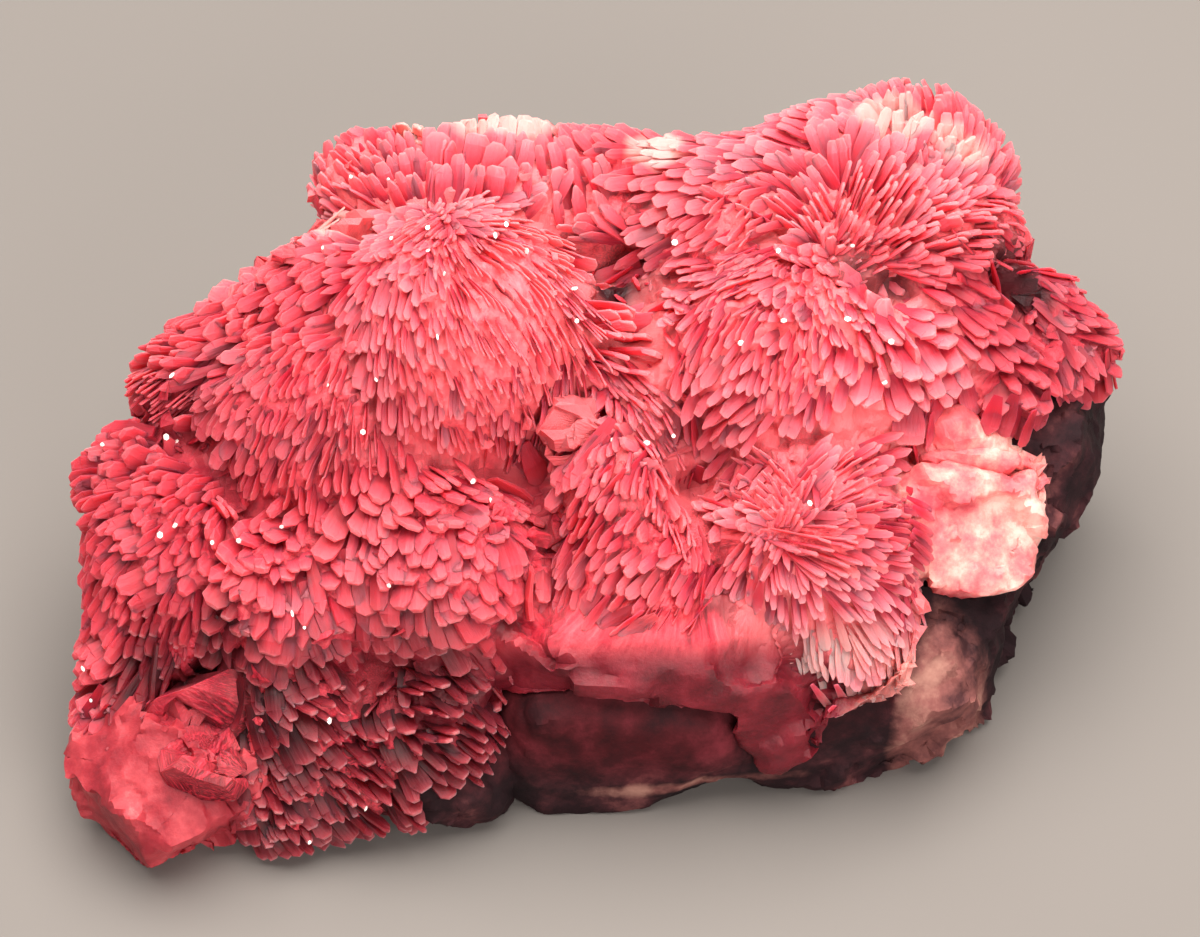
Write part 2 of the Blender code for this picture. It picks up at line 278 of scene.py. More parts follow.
rough_face = add_node(
    rock_material, "ShaderNodeBump", {"Height": grit.outputs["Fac"]}, Strength=0.5, Distance=ROCK_GRIT_RELIEF
)
rock_material.node_tree.links.new(rough_face.outputs["Normal"], rock_shader.inputs["Normal"])
rock.data.materials.append(rock_material)
shade_by_angle(rock, EDGE_ANGLE)
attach(rock, "root")
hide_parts("matrix_rock")

# ----------------------------------------------------------------------------------------------------------
# The massive rhodonite: a dense pink to crimson silicate with no crystal faces, which is the bed that the
# blades stand on, painted crimson under them as shade. Where it was broken, at the edge of the crust, it shows
# uneven faces: a frosted white-pink one at the right, and red ones over the bare rock and at the lower left.

FACE_RISE = math.radians(50)
FACE_MIDDLE = Vector((0.0, -0.0023, 0.028))
FACE_UP = Vector((0.0, math.sin(FACE_RISE), math.cos(FACE_RISE)))
FACE_OUT = Vector((0.0, -math.cos(FACE_RISE), math.sin(FACE_RISE)))
ACROSS = Vector((1.0, 0.0, 0.0))


def on_face(across, up, out):
    return FACE_MIDDLE + MM * (across * ACROSS + up * FACE_UP + out * FACE_OUT)


class Spray(NamedTuple):
    """A ball of blades: its place on the face and its radius in millimetres, and how its blades grew.

    They lean away from a pole, which is itself turned on the face and leans from straight out, in degrees. Then
    come how flat they lie, how broadside, how loosely they stand and how coarse they are."""

    across: float
    up: float
    out: float
    radius: float
    turn: float = 90
    lean: float = 20
    lay: float = 0.6
    broadside: float = 0.2
    loose: float = 0.3
    coarse: float = 1.0


FACE_SPRAYS = (
    Spray(-27.0, 32.4, -9, 8.0, -60, 80, 1.2, 0.9, 0.2, 1.0),
    Spray(-20.2, 31.2, -7, 8.3, -80, 80, 1.2, 0.9, 0.1, 1.1),
    Spray(-11.2, 31.6, -7, 9.9, -100, 80, 1.4, 0.9, 0.1, 1.1),
    Spray(-1.7, 30.0, -8, 10.0, -60, 80, 1.2, 0.9, 0.1, 1.1),
    Spray(6.2, 29.0, -10, 10.0, 40, 80, 1.2, 0.8, 0.2, 0.9),
    Spray(13.5, 28.0, -6, 11.4, 35, 85, 2.0, 0.6, 0.25, 0.7),
    Spray(25.2, 31.9, -6, 11.2, -20, 85, 1.4, 0.9, 0.15, 0.9),
    Spray(35.0, 36.0, -8, 10.0, -80, 85, 1.2, 0.9, 0.2, 0.9),
    Spray(42.5, 33.5, -9, 7.2, -140, 80, 0.9, 0.6, 0.3, 0.9),
    Spray(30.3, 27.5, 0, 9.5, 225, 85, 1.2, 0.2, 0.4, 0.9),
    Spray(38.5, 23.5, 0, 7.5, 160, 80, 1.1, 0.5, 0.3, 0.9),
    Spray(44.0, 25.5, -5, 6.4, 150, 80, 1.1, 0.6, 0.3, 0.8),
    Spray(-40.9, 16.3, -3, 6.6, 30, 70, 1.2, 0.3, 0.4, 1.0),
    Spray(-31.5, 20.5, -1, 7.8, 40, 70, 1.2, 0.5, 0.3, 1.0),
    Spray(-15.1, 14.6, 2, 16.5, 100, 75, 2.2, 0.4, 0.05, 0.7),
    Spray(2.5, 13.5, 1, 9.0, 170, 85, 1.0, 0.05, 0.7, 1.1),
    Spray(5.0, 5.0, 1, 8.5, 140, 85, 1.1, 0.05, 0.7, 1.1),
    Spray(19.1, 11.8, 1, 15.2, 60, 78, 2.2, 0.75, 0.2, 0.65),
    Spray(31.4, 10.7, 4, 9.5, 90, 60, 2.6, 1.0, 0.0, 2.0),
    Spray(40.4, 15.1, 1, 7.5, 110, 60, 1.5, 0.9, 0.1, 1.2),
    Spray(50.4, 17.5, -6, 7.0, 120, 60, 1.4, 0.9, 0.1, 1.1),
    Spray(54.0, 12.0, -4, 6.8, 120, 60, 1.4, 0.9, 0.1, 1.1),
    Spray(45.4, 8.4, 1, 7.0, 90, 60, 1.5, 0.9, 0.1, 1.2),
    Spray(-47.6, 10.1, -2, 7.2, 20, 70, 1.1, 0.3, 0.6, 1.1),
    Spray(-32.5, 5.0, 1, 13.5, 60, 80, 2.0, 0.4, 0.3, 0.75),
    Spray(-53.0, -1.0, -3, 8.0, 10, 70, 1.0, 0.4, 0.6, 1.1),
    Spray(1.1, -1.7, 9, 7.8, 60, 85, 1.2, 0.2, 0.6, 1.0),
    Spray(24.1, -7.3, 3, 14.6, 175, 22, 2.6, 0.75, 0.2, 0.6),
    Spray(28.0, -19.0, 4.5, 9.0, 90, 70, 1.6, 0.7, 0.2, 0.7),
    Spray(-48.2, -9.5, 0, 12.0, 50, 70, 1.0, 0.5, 0.5, 1.1),
    Spray(-34.8, -15.1, 5, 10.7, 95, 75, 1.0, 0.9, 0.4, 1.5),
    Spray(-16.8, -11.8, 5, 12.9, 105, 75, 1.0, 0.9, 0.4, 1.5),
    Spray(-24.0, -6.0, 3, 11.0, 90, 75, 1.2, 0.8, 0.35, 1.3),
    Spray(4.5, -12.0, 6, 11.2, 50, 85, 2.0, 0.5, 0.3, 0.8),
    Spray(-52.7, -20.7, 0, 7.5, 60, 70, 0.9, 0.5, 0.5, 1.0),
    Spray(-45.5, -19.5, 1, 6.5, 80, 70, 0.9, 0.5, 0.4, 1.0),
    Spray(-33.6, -26.9, 4, 8.4, 135, 75, 1.6, 0.5, 0.4, 1.0),
    Spray(-17.9, -28.0, 2, 10.6, 142, 80, 1.8, 0.5, 0.4, 1.0),
    Spray(-53.8, -28.0, 0, 7.0, 60, 60, 0.7, 0.6, 0.2, 1.0),
    Spray(-35.5, -38.0, 0, 8.3, 125, 75, 1.4, 0.4, 0.4, 1.0),
    Spray(-28.0, -36.0, 1, 7.0, 125, 75, 1.4, 0.4, 0.4, 1.0),
    Spray(-20.5, -35.5, 1, 6.5, 130, 75, 1.4, 0.4, 0.4, 1.0),
)
BACK_SPRAYS = (
    Spray(-35.0, 12.0, -20, 9.0, 150, 120),
    Spray(-22.0, 22.0, -20, 10.0, 120, 110),
    Spray(-8.0, 24.0, -20, 10.0, 90, 110),
    Spray(8.0, 22.0, -22, 10.0, 90, 110),
    Spray(24.0, 26.0, -20, 10.0, 70, 110),
    Spray(38.0, 24.0, -18, 8.0, 40, 110),
    Spray(-45.0, 0.0, -18, 9.0, 180, 110),
    Spray(-48.0, -11.0, -14, 8.0, 180, 110),
)
SPRAY_BLEND = 2.2 * MM  # how widely neighbouring sprays run into each other
all_sprays = FACE_SPRAYS + BACK_SPRAYS
spray_middles = np.array([on_face(s.across, s.up, s.out) for s in all_sprays])
spray_radii = np.array([s.radius for s in all_sprays]) * MM
spray_lay = np.array([s.lay for s in all_sprays])
spray_broadside = np.array([s.broadside for s in all_sprays])
spray_loose = np.array([s.loose for s in all_sprays])
spray_coarse = np.array([s.coarse for s in all_sprays])
spray_poles = np.array([
    math.cos(math.radians(s.lean)) * FACE_OUT
    + math.sin(math.radians(s.lean)) * (
        math.cos(math.radians(s.turn)) * ACROSS + math.sin(math.radians(s.turn)) * FACE_UP
    )
    for s in all_sprays
])


def depth_below_tips(points):
    """How far points lie outside the surface that the blades' tips reach, and each spray's share in it."""
    distances = np.linalg.norm(points[:, None] - spray_middles, axis=2) - spray_radii
    nearest = distances.min(axis=1, keepdims=True)
    shares = np.exp(-(distances - nearest) / SPRAY_BLEND)
    total = shares.sum(axis=1, keepdims=True)
    return (nearest - SPRAY_BLEND * np.log(total))[:, 0], shares / total


# Hollows and clefts between the sprays: where they are on the face, how wide and how deep, in millimetres.
CLEFTS = (
    ((-1, 2, 3), 4.0, 3.0), ((5, 0.5, 4), 3.0, 4.0), ((1, 20, 1), 3.0, 4.0), ((2.5, 16, 3), 2.5, 3.5),
    ((-42, -24, 3), 3.0, 7.0), ((-46, -25.5, 2), 3.0, 6.5), ((-38.5, -22.5, 4), 2.5, 5.0),
    ((-40, 0, 2), 3.0, 3.5), ((-34, 9, 5), 2.5, 2.5), ((-32.5, -13, 9), 2.2, 4.5), ((-10.6, -17, 10), 2.0, 4.0),
    ((2.2, 20.7, 0), 2.5, 4.5), ((28, 21.5, 4), 2.5, 4.3), ((32.5, 20.5, 4), 1.9, 3.6),
    ((46, 22, -1), 3.4, 7.0), ((49, 19.5, -2), 2.6, 6.0), ((34, -2, 8), 2.5, 3.0), ((19, -20.5, 9), 3.5, 2.5),
    ((10, 5, 7), 2.5, 3.0), ((-21, 24, 2), 2.5, 2.5), ((-45, 5, 1), 2.5, 3.0), ((13, -14.5, 10), 2.0, 3.0),
)


def pit_depths(points):
    total = np.zeros(len(points))
    for place, width, depth in CLEFTS:
        distance = np.linalg.norm(points - np.array(on_face(*place)), axis=1) / MM
        total += MM * depth * np.exp(-((distance / width) ** 2))
    return total


# Lumps of massive rhodonite with no blades on them: their middles and half-lengths, in the row frame.
BARE_LUMPS = (
    ((41.5, -6.8, 25), (10, 8, 9)),
    ((20, -22.3, 13), (7, 7.5, 10)),
    ((5, -21, 18.5), (20, 10.5, 9)),
    ((-49, -31.3, 8), (11, 9, 10)),
)
MASSIVE_SOFTNESS = 0.12
BED_DEPTH = 2.25 * MM  # of the bed below the surface that the tips reach, where the blades are grown together
LOOSE_BED_DEPTH = 2.0 * MM  # how much deeper it is where they stand free
CREASE_DEPTH = 3.0 * MM  # and in the creases between sprays
SINK_REACH = 2.5 * MM  # only what lies this close to the tips sinks, so that the inside of the crust stays
RAISE_LIMIT, SINK_LIMIT = 1.5 * MM, 9.0 * MM
BARE_BELOW = (2.3 * MM, 2.7 * MM)  # how far from the tips the underside starts to be bare, and is quite bare
BED_CLEARANCE = 0.3 * MM  # under the crust, which nowhere touches the table
CORE_GRAIN = 0.62 * MM
FIBRE = 1.0 * MM  # the width of the ribs that the blades' roots leave on the bed
FIBRE_REACH = 10.0 * MM  # as far from a spray's heart as this, since they fan out from there
FIBRE_RELIEF = 1.5 * MM
MEAN_RIB = 0.25  # about the middle of the ribs' noise, so that they both raise the bed and sink it
GRIT = 1.3 * MM
GRIT_RELIEF = 0.2 * MM
# The broken band over the boss turns to the crystals' own colour above and to a dark red below, each between
# two heights on the face, in millimetres. The dark red is partly its own colour and partly painted shade, where
# the band turns down to the rock.
BAND = ((3, -27, 18), (24, 9, 11))
BAND_TOP = (-22.0, -17.0)
BAND_FOOT = (-18.0, -22.0)
FROSTED_BLOCK = ((42.9, -9.1, 28.6), (9.5, 8.5, 9.5))
PALE_EDGE = ((31.5, -27.0, 16.5), (8, 5, 5))
DARK_WEDGE = ((20, -28.3, 11), (8, 8, 10))
# Pits are painted dark, as shade, down to this depth.
DEEP_PIT = 5.0 * MM  # as deep as this, a pit is quite dark


def on_face_mm(across, up, out):
    return on_face(across, up, out) / MM


def keep_spots(mesh, name, points, spots):
    """Marks spots of a crystal face, each with its middle and half-lengths on the face and its share."""
    marks = [share * near(points, on_face_mm(*middle), half, 0.6) for middle, half, share in spots]
    keep_mark(mesh, name, np.max(marks, axis=0))


# Where the crystals are a deeper crimson than elsewhere, partly their own colour and partly painted shade
# around
# the crevices and towards the left edge: their middles and half-lengths on the face, and how far the colour
# goes.
DEEPENED_AND_PAINTED_SHADE = (
    ((-55, -6, 0), (12, 26, 16), 0.9), ((-36, -2, 4), (14, 12, 14), 0.5), ((-24, -12, 8), (18, 9, 14), 0.4),
    ((48, 11, -2), (11, 8, 14), 0.75), ((1, 2, 4), (11, 7, 10), 0.8), ((-50, 6, 0), (9, 8, 12), 0.6),
)
# Where they are paler: partly their own paler colour, and partly painted light on crystals that face down, away
# from the lamps.
PALED_AND_PAINTED_LIGHT = (
    ((27, 33, -2), (15, 9, 14), 0.7), ((31, 11, 8), (8, 7, 10), 1.0), ((-22, 31, -2), (15, 8, 12), 0.7),
    ((18, 13, 10), (11, 10, 12), 0.4), ((22, 0, 10), (12, 6, 12), 0.4), ((-14, 14, 10), (12, 11, 12), 0.3),
    ((0, 13, 8), (7, 13, 12), 0.6), ((26, -19, 5), (10, 7, 10), 1.0),
)


def keep_directions(mesh, name, values):
    mesh.attributes.new(name, "FLOAT_VECTOR", "POINT").data.foreach_set("vector", values.ravel())


def noise_values(points):
    return np.array([noise.noise(Vector(point)) for point in points])


def between(values, start, end):
    """0 where values are at the start or short of it, rising to 1 at the end and past it."""
    return np.clip((values - start) / (end - start), 0.0, 1.0)


def delete_bubbles(piece):
    """Deletes the small closed shells that remeshing leaves inside a piece, and keeps its outermost one."""
    deselect_all()
    piece.select_set(True)
    bpy.context.view_layer.objects.active = piece
    bpy.ops.object.mode_set(mode="EDIT")
    bpy.ops.mesh.select_all(action="DESELECT")
    shape = bmesh.from_edit_mesh(piece.data)
    min(shape.verts, key=lambda vert: vert.co.x).select = True
    bmesh.update_edit_mesh(piece.data)
    bpy.ops.mesh.select_linked()
    bpy.ops.mesh.select_all(action="INVERT")
    bpy.ops.mesh.delete(type="VERT")
    bpy.ops.object.mode_set(mode="OBJECT")


core = copy_of_solid("rhodonite_crystals", "massive_rhodonite")
apply_modifier(core, "REMESH", mode="VOXEL", voxel_size=CORE_GRAIN)
delete_bubbles(core)
bare = np.max([near(points_of(core.data), *lump, softness=MASSIVE_SOFTNESS) for lump in BARE_LUMPS], axis=0)
grown_over = core.vertex_groups.new(name="grown_over")
grown_over.add(np.flatnonzero(bare < 0.5).tolist(), 1.0, "REPLACE")
apply_modifier(core, "SMOOTH", factor=0.5, iterations=5, vertex_group="grown_over")
# Underneath, what lies too far from the blades' tips to carry any is bare as well.
off_tips = between(np.abs(depth_below_tips(points_of(core.data))[0]), *BARE_BELOW)
facing_down = np.clip(-2.0 * point_normals(core.data) @ np.array(FACE_OUT), 0.0, 1.0)
bare = np.maximum(bare, off_tips * facing_down)
# The bed sinks twice, because the smoothing lifts the creases between the sprays.
for smoothings in (3, 1):
    places = points_of(core.data)
    outside, shares = depth_below_tips(places)
    bed_depth = BED_DEPTH + LOOSE_BED_DEPTH * (shares @ spray_loose) + pit_depths(places)
    bed_depth += CREASE_DEPTH * (1.0 - shares.max(axis=1))
    sunk = np.clip(outside + bed_depth, -RAISE_LIMIT, SINK_LIMIT) * (np.abs(outside) < SINK_REACH)
    places -= (sunk * (1.0 - bare))[:, None] * point_normals(core.data)
    set_points(core.data, places)
    apply_modifier(core, "SMOOTH", factor=0.5, iterations=smoothings, vertex_group="grown_over")
# Ribs fan out over the bed from the heart of each spray.
places = points_of(core.data)
owner = depth_below_tips(places)[1].argmax(axis=1)
hearts = spray_middles + 0.7 * spray_radii[:, None] * spray_poles
fibres = unit(places - hearts[owner]) * FIBRE_REACH / FIBRE + owner[:, None]
ribs = np.abs(noise_values(fibres)) + 0.5 * np.abs(noise_values(2.1 * fibres))
places += ((MEAN_RIB - ribs) * FIBRE_RELIEF * (1.0 - bare))[:, None] * point_normals(core.data)
set_points(core.data, places)
# What is bare was broken, coarsely and then finely, and less so in the band.
in_band = near(places, *BAND, softness=0.35)
hew(core.data, size=8 * MM, tilt=0.08, limit=1.8 * MM, seed=3, share=bare * (1.0 - 0.5 * in_band))
apply_modifier(core, "SMOOTH", factor=0.5, iterations=1)
hew(core.data, size=3 * MM, tilt=0.12, limit=0.35 * MM, seed=4, share=bare * (1.0 - 0.7 * in_band))
apply_modifier(core, "SMOOTH", factor=0.5, iterations=1)
gritty = relief("grit", "CLOUDS", GRIT, noise_depth=3)
apply_modifier(core, "DISPLACE", texture=gritty, texture_coords="LOCAL", strength=GRIT_RELIEF, mid_level=0.5)
places = points_of(core.data)
places[:, 2] = np.maximum(places[:, 2], BED_CLEARANCE)
set_points(core.data, places)
face_heights = (places - np.array(FACE_MIDDLE)) @ np.array(FACE_UP) / MM
# The marks that the colours go by. The bed is painted darkest, as shade, in pits, in creases and between loose
# blades.
keep_mark(core.data, "bare", bare * (1.0 - in_band * between(face_heights, *BAND_TOP)))
pits = pit_depths(places) / DEEP_PIT
keep_mark(core.data, "painted_pit_shade", np.clip(pits, 0.0, 1.0))
painted_bed_shade = 0.3 * (shares @ spray_loose) + 0.35 * (1.0 - shares.max(axis=1)) + 0.8333 * pits
keep_mark(core.data, "painted_bed_shade", np.clip(painted_bed_shade, 0.0, 0.7))
keep_directions(core.data, "fibres", fibres)
keep_spots(core.data, "deepened_and_painted_shade", places, DEEPENED_AND_PAINTED_SHADE)
keep_spots(core.data, "paled_and_painted_light", places, PALED_AND_PAINTED_LIGHT)
keep_mark(core.data, "frosted", near(places, *FROSTED_BLOCK, softness=0.25))
keep_mark(core.data, "pale_edge", near(places, *PALE_EDGE, softness=0.5))
# At the band's foot the dark red is partly its own colour and partly painted shade.
band_foot = in_band * between(face_heights, *BAND_FOOT)
keep_mark(core.data, "darkened", np.maximum(band_foot, near(places, *DARK_WEDGE, softness=0.5)))

DEEPENING = 1.9  # makes a full mark crimson nearly all over, since the patterns are about 0.5


def deepened_and_painted_shade(material, under, over, pattern):
    """The deeper crimson, partly painted shade, over a colour, as far as its mark and a pattern together say.
    """
    share = add_node(material, "ShaderNodeAttribute", attribute_name="deepened_and_painted_shade").outputs["Fac"]
    for factor in (pattern, DEEPENING):
        product = add_node(material, "ShaderNodeMath", {0: share, 1: factor}, operation="MULTIPLY")
        share = product.outputs["Value"]
    mix = add_node(material, "ShaderNodeMix", {"Factor": share, 6: under, 7: over}, data_type="RGBA")
    return mix.outputs[2]


# Massive rhodonite: the stone lets light in a little way, so that its thin edges glow red and its broken faces
# look frosted and soft. Under the blades it is ribbed, and painted darker as shade where it lies deep: in pits,
# in creases and between loose blades.
CLOUD = 5.556 * MM  # the width of its paler and redder patches
CORE_GRIT = 0.714 * MM  # the real grit is finer, and wouldn't show
core_material, core_shader = new_material(
    "massive rhodonite", Roughness=0.5, Specular_IOR_Level=0.3, Subsurface_Weight=0.35,
    Subsurface_Radius=(1.0, 0.28, 0.25), Subsurface_Scale=1.5 * MM,
)
place = add_node(core_material, "ShaderNodeTexCoord").outputs["Object"]
clouds = add_node(
    core_material, "ShaderNodeTexNoise", {"Vector": place}, Scale=1.0 / CLOUD, Detail=6.0, Roughness=0.65
).outputs["Fac"]
bare_colour, frost_colour, dark_colour = (
    add_node(core_material, "ShaderNodeValToRGB", {"Fac": clouds}, stops).outputs["Color"]
    for stops in (
        ((0.28, "#6E1420"), (0.45, "#982833"), (0.60, "#B43F47"), (0.78, "#DC8A86")),
        ((0.36, "#CC4753"), (0.47, "#DC7173"), (0.56, "#E4988F"), (0.66, "#EDC4B8")),
        ((0.30, "#3A0C12"), (0.50, "#681420"), (0.75, "#8C2532")),
    )
)
# The streaks' scale and that of the blades' striations count in fibre widths, as the fibres' places do.
fibre_place = add_node(core_material, "ShaderNodeAttribute", attribute_name="fibres").outputs["Vector"]
streaks = add_node(
    core_material, "ShaderNodeTexNoise", {"Vector": fibre_place}, Scale=1.6, Detail=3.0, Roughness=0.6
).outputs["Fac"]
# Painted shade: the bed's pink runs down to near black as the streaks and the painted shade add up.
shade = add_node(core_material, "ShaderNodeAttribute", attribute_name="painted_bed_shade").outputs["Fac"]
shade_share = add_node(core_material, "ShaderNodeMath", {0: streaks, 1: shade}, operation="ADD")
bed_colour = add_node(
    core_material, "ShaderNodeValToRGB", {"Fac": shade_share.outputs["Value"]},
    ((0.35, "#F3727A"), (0.52, "#E9505C"), (0.70, "#C42C40"), (0.85, "#6E0C1C"), (1.0, "#30060E")),
).outputs["Color"]
# Painted shade, in part: the deeper crimson spots over the bed.
bed_colour = deepened_and_painted_shade(core_material, bed_colour, "#B4263A", clouds)
# Painted light, in part: the paler spots over the bed.
bed_colour = painted(core_material, bed_colour, "paled_and_painted_light", "#F87E82", clouds, 1.2)
# Painted shade: the pits are painted near black.
bed_colour = painted(core_material, bed_colour, "painted_pit_shade", "#2A050C")
bed_colour = painted(core_material, bed_colour, "bare", bare_colour)
bed_colour = painted(core_material, bed_colour, "frosted", frost_colour, clouds)
bed_colour = painted(core_material, bed_colour, "pale_edge", "#F09089", clouds)
bed_colour = painted(core_material, bed_colour, "darkened", dark_colour, clouds, 0.8)
core_material.node_tree.links.new(bed_colour, core_shader.inputs["Base Color"])
bare_share = add_node(core_material, "ShaderNodeAttribute", attribute_name="bare").outputs["Fac"]
grown_share = add_node(core_material, "ShaderNodeMath", {0: 1.0, 1: bare_share}, operation="SUBTRACT")
fibre_height = add_node(
    core_material, "ShaderNodeMath", {0: streaks, 1: grown_share.outputs["Value"]}, operation="MULTIPLY"
)
fibre_bump = add_node(
    core_material, "ShaderNodeBump", {"Height": fibre_height.outputs["Value"]}, Strength=0.6, Distance=0.5 * MM
)
core_grit = add_node(
    core_material, "ShaderNodeTexNoise", {"Vector": place}, Scale=1.0 / CORE_GRIT, Detail=5.0, Roughness=0.7
)
core_bump = add_node(
    core_material, "ShaderNodeBump",
    {"Height": core_grit.outputs["Fac"], "Normal": fibre_bump.outputs["Normal"]},
    Strength=0.6, Distance=GRIT_RELIEF,
)
core_material.node_tree.links.new(core_bump.outputs["Normal"], core_shader.inputs["Normal"])
core.data.materials.append(core_material)
shade_by_angle(core, EDGE_ANGLE)
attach(core, "root")
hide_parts("rhodonite_crystals")

# ----------------------------------------------------------------------------------------------------------
# The rhodonite crystals: thin, flat blades that grew outward from many points at once, so that each point
# carries a spray. They are pale and sharp at their tips, and painted a deep crimson where they crowd at their
# roots, as shade between them.

BLADE_LENGTH = 9.0  # in millimetres, in which the blades are modelled
FINENESS = 0.7  # scales every blade's width and thickness, and the gaps that go with them
ROW_GAP = 1.8 * MM  # how much of a blade's length shows before the next one covers it, where they stand edge-on
BROAD_ROW_GAP = 2.25 * MM  # the same where they lie broadside, like scales
FLAT_ROW_GAP = 1.44 * MM  # how much more shows of blades that lie quite flat
STACK_GAP = 0.6 * MM  # from one edge-on blade to the next, so that most touch their neighbours
BROAD_SIDE_GAP = 0.95 * MM
HEIGHT_GAP = 3.5 * MM
FIBRE_LENGTH = 12 * MM  # of the striations that run along the blades
CANDIDATES = 150000
FOOT_DEPTHS = (0.6 * MM, 11 * MM)  # blades stand on the bed where it lies between these depths below the tips
PIT_FLOOR = 3.2 * MM  # no blades stand in a hollow deeper than this
BUNDLE_ORDER = 1.6  # how much more a blade follows its bundle than its own place
BUNDLE = 5.0 * MM  # blades stand in bundles about this wide, each turned its own way
BUNDLE_SWAY = 1.3 * MM  # the scale of the noise that sways whole bundles
DRIFT = 9 * MM  # and of the noise that single blades drift with
TIP_DEPTH = 1.7  # of the tips below the sprays' outer surface, in millimetres
LOOSE_TIP_DEPTH = 0.8  # and how much deeper they are where the blades stand free
LONGEST = 12 * MM
LOWEST = 1.2 * MM  # no blade's tip or root lies lower over the table
BLADE_CLEARANCE = 0.2 * MM  # under the blades, which nowhere touch the table
TIP_ERROR = 1.2 * MM  # a blade that misses the surface its tip should reach by more than this is left out


def select_points(shape, test):
    for vert in shape.verts:
        vert.select = test(vert.co)
    shape.select_flush_mode()


def model_blade(name, tip_cuts, bends):
    """One blade that stands on the origin along Z: 3 wide in X, 0.85 thick in Y and 9 long, in millimetres.

    Planes, each a point and an outward normal, cut the tip to shape. Bends are heights and sideways shifts."""
    deselect_all()
    middle = (0, 0, BLADE_LENGTH / 2)
    bpy.ops.mesh.primitive_cylinder_add(vertices=6, radius=0.5, depth=BLADE_LENGTH, location=middle)
    blade = bpy.context.object
    blade.name = name
    bpy.ops.object.transform_apply(location=True, rotation=True, scale=True)
    bpy.ops.object.mode_set(mode="EDIT")
    bpy.ops.mesh.select_all(action="SELECT")
    bpy.ops.transform.resize(value=(3.45, 0.85, 1.0), center_override=(0, 0, 0))
    for height, _ in bends:
        bpy.ops.mesh.select_all(action="SELECT")
        bpy.ops.mesh.bisect(plane_co=(0, 0, height), plane_no=(0, 0, 1))
    for point, normal in tip_cuts:
        bpy.ops.mesh.select_all(action="SELECT")
        bpy.ops.mesh.bisect(plane_co=point, plane_no=normal, use_fill=True, clear_outer=True)
    shape = bmesh.from_edit_mesh(blade.data)
    for height, shift in bends:
        select_points(shape, lambda co: abs(co.z - height) < 0.001)
        bmesh.update_edit_mesh(blade.data)
        bpy.ops.transform.translate(value=(0, shift, 0))
    select_points(shape, lambda co: co.z < 0.001)
    bmesh.update_edit_mesh(blade.data)
    bpy.ops.transform.resize(value=(0.5, 0.5, 1), center_override=(0, 0, 0))
    bpy.ops.object.mode_set(mode="OBJECT")
    return blade


blades = [
    model_blade(
        "lozenge blade",
        (((0.15, 0, 9), (0.84, 0, 0.54)), ((-0.15, 0, 9), (-0.80, 0, 0.60)), ((0, 0.1, 9), (0, 0.75, 0.66)),
         ((0, -0.1, 9), (0, -0.75, 0.66))),
        ((4.5, 0.25), (7.0, 0.2)),
    ),
    model_blade(
        "chisel blade",
        (((0.7, 0, 9), (0.86, 0, 0.50)), ((-0.5, 0, 9), (-0.7, 0, 0.7)), ((0, 0.0, 9), (0, 0.62, 0.78)),
         ((0, -0.35, 9), (0, -0.9, 0.44))),
        ((4.5, -0.25), (7.0, -0.1)),
    ),
    model_blade(
        "slant blade",
        (((0.9, 0, 9), (0.62, 0.1, 0.78)), ((-0.9, 0, 8.6), (-0.9, 0, 0.44)), ((0, 0.2, 9), (0, 0.8, 0.6))),
        ((4.5, 0.1), (7.0, 0.3)),
    ),
]


def triangles_of(mesh):
    mesh.calc_loop_triangles()
    return np.array([triangle.vertices for triangle in mesh.loop_triangles])


def blade_arrays(blade):
    """The points of a blade, from its tip, its triangles, and how far along it each point is."""
    points = points_of(blade.data)
    return (points - np.array((0, 0, BLADE_LENGTH))) * MM, triangles_of(blade.data), points[:, 2] / BLADE_LENGTH


blade_shapes = [blade_arrays(blade) for blade in blades]
for blade in blades:
    bpy.data.objects.remove(blade)


def bundle_seats(points):
    """The middle of the bundle that each point belongs to."""
    return np.array([noise.voronoi(Vector(p) / BUNDLE)[1][0] for p in points]) * BUNDLE


def growth_field(points):
    """At each point: the way blades grow, the way off from their spray's pole, and each spray's share."""
    _, shares = depth_below_tips(points)
    outward = unit(points[:, None] - spray_middles)
    growth = unit((shares[:, :, None] * outward).sum(axis=1))
    pole = unit(shares @ spray_poles)
    away = growth * (growth * pole).sum(axis=1, keepdims=True) - pole
    return growth, away, shares


def noise_vectors(points, size, shift):
    return np.array([noise.noise_vector(Vector(p) / size + Vector((shift, 0, 0))) for p in points])


# Places for blades all over the bed, with the way that each one grows.
draw = np.random.default_rng(7)
noise.seed_set(7)  # until this is set, the noise vectors differ from run to run
bed_points = points_of(core.data)
bed_faces = triangles_of(core.data)
a, b, c = (bed_points[bed_faces[:, n]] for n in range(3))
areas = np.linalg.norm(np.cross(b - a, c - a), axis=1)
picked = draw.choice(len(bed_faces), CANDIDATES, p=areas / areas.sum())
s, t = draw.random((2, CANDIDATES, 1))
fold = (s + t) > 1
s, t = np.where(fold, 1 - s, s), np.where(fold, 1 - t, t)
feet = a[picked] + s * (b - a)[picked] + t * (c - a)[picked]
normals = unit(np.cross(b - a, c - a))[picked]
below, _ = depth_below_tips(feet)
growth, _, _ = growth_field(feet)
usable = (below < -FOOT_DEPTHS[0]) & (below > -FOOT_DEPTHS[1]) & ((growth * normals).sum(axis=1) > 0.1)
usable &= pit_depths(feet) < PIT_FLOOR
feet, normals = feet[usable], normals[usable]
seats = bundle_seats(feet)
growth, away, shares = growth_field(feet)
bundle_growth, bundle_away, _ = growth_field(seats)
growth = unit(growth + BUNDLE_ORDER * bundle_growth)
away = away + BUNDLE_ORDER * bundle_away
away -= (away * growth).sum(axis=1, keepdims=True) * growth
lay = shares @ spray_lay
broadside = shares @ spray_broadside
loose = shares @ spray_loose
